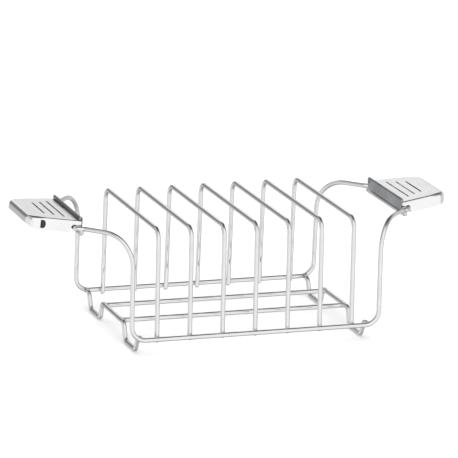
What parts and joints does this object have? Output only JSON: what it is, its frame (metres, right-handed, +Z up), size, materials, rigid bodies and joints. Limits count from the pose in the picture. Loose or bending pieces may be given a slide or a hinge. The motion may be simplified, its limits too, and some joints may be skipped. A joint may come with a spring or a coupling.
{
  "type": "toast rack",
  "caption": "Bent-wire rack with a row of hoops for toast or bread rolls, raised wire feet and a swinging sheet-metal handle at each end.",
  "frame": {"origin": "on the surface the rack stands on, under the middle of the rack", "axes": "+X along the row of hoops from the left handle to the right handle, +Y from the front rail to the rear rail, +Z up"},
  "size_m": [0.2796, 0.12, 0.0847],
  "materials": {
    "rack_wire": "bright drawn stainless steel wire",
    "handle_shell": "satin stainless steel sheet, brushed across the handle",
    "handle_base": "polished stainless steel sheet"
  },
  "bodies": {
    "rack": {"side_wire_front": "rack_wire", "side_wire_rear": "rack_wire", "hoop_1": "rack_wire", "hoop_2": "rack_wire", "hoop_3": "rack_wire", "hoop_4": "rack_wire", "hoop_5": "rack_wire", "hoop_6": "rack_wire", "hoop_7": "rack_wire", "mid_rail_front": "rack_wire", "mid_rail_rear": "rack_wire", "foot_wire_left": "rack_wire", "foot_wire_right": "rack_wire", "tie_wire_left": "rack_wire", "tie_wire_right": "rack_wire"},
    "handle_left": {"handle_shell_left": "handle_shell", "handle_base_left": "handle_base"},
    "handle_right": {"handle_shell_right": "handle_shell", "handle_base_right": "handle_base"}
  },
  "joints": [
    {"name": "left_handle_swing", "type": "hinge", "parent": "rack", "child": "handle_left", "pos_m": [-0.1107, 0, 0.0772], "axis": [0, -1, 0], "range_deg": [0, 64]},
    {"name": "right_handle_swing", "type": "hinge", "parent": "rack", "child": "handle_right", "pos_m": [0.1107, 0, 0.0772], "axis": [0, 1, 0], "range_deg": [0, 64]}
  ]
}
